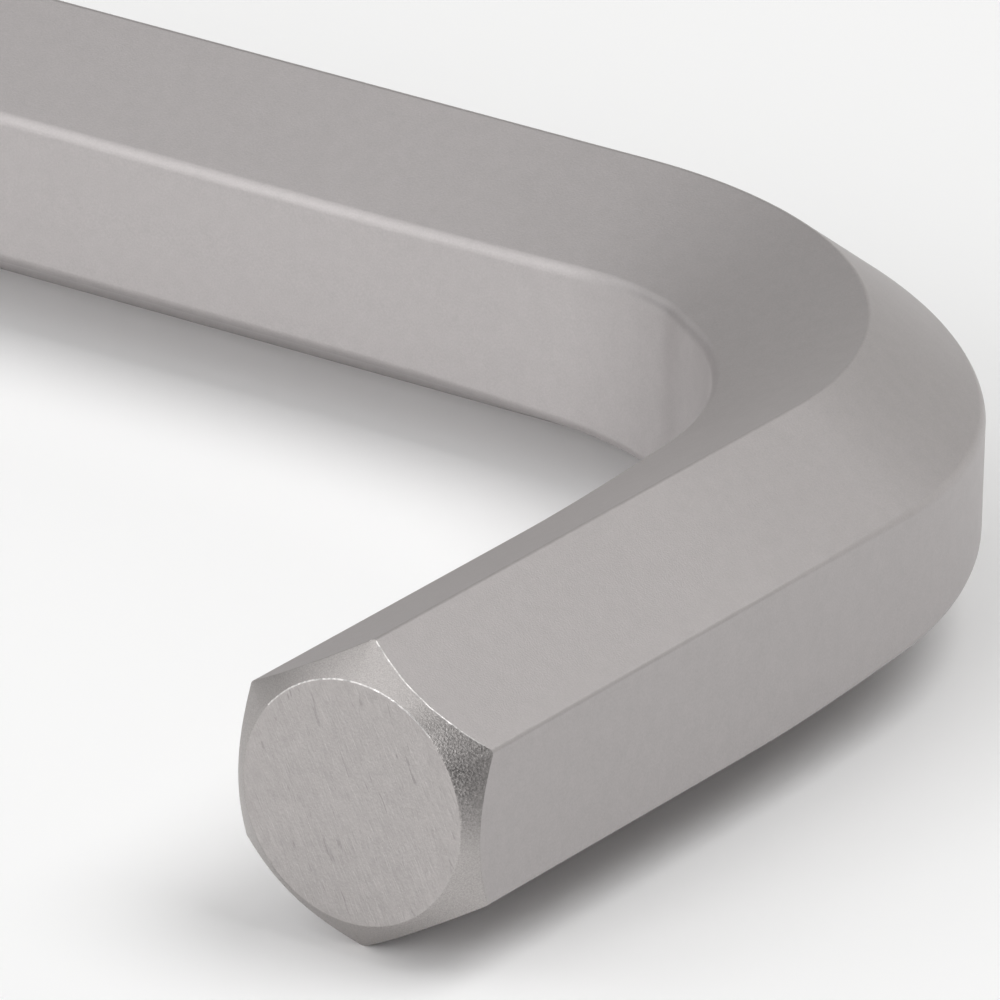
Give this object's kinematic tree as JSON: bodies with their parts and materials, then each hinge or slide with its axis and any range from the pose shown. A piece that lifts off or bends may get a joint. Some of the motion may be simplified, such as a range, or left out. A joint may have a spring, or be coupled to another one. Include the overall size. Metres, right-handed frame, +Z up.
{
  "type": "hex key",
  "caption": "L-shaped hex key: a hexagonal steel bar bent to a right angle, with a chamfered driving end on each arm.",
  "frame": {"origin": "middle of the key's plan box, on the surface that it lies on", "axes": "+X along the long arm towards the bend, -Y along the short arm towards its end, +Z up, square to the plane of the L"},
  "size_m": [0.122, 0.05, 0.0114],
  "materials": {
    "satin_steel": "warm grey satin plating with a fine matt grain, ground end faces"
  },
  "bodies": {
    "root": {"hex_key": "satin_steel"}
  },
  "joints": []
}
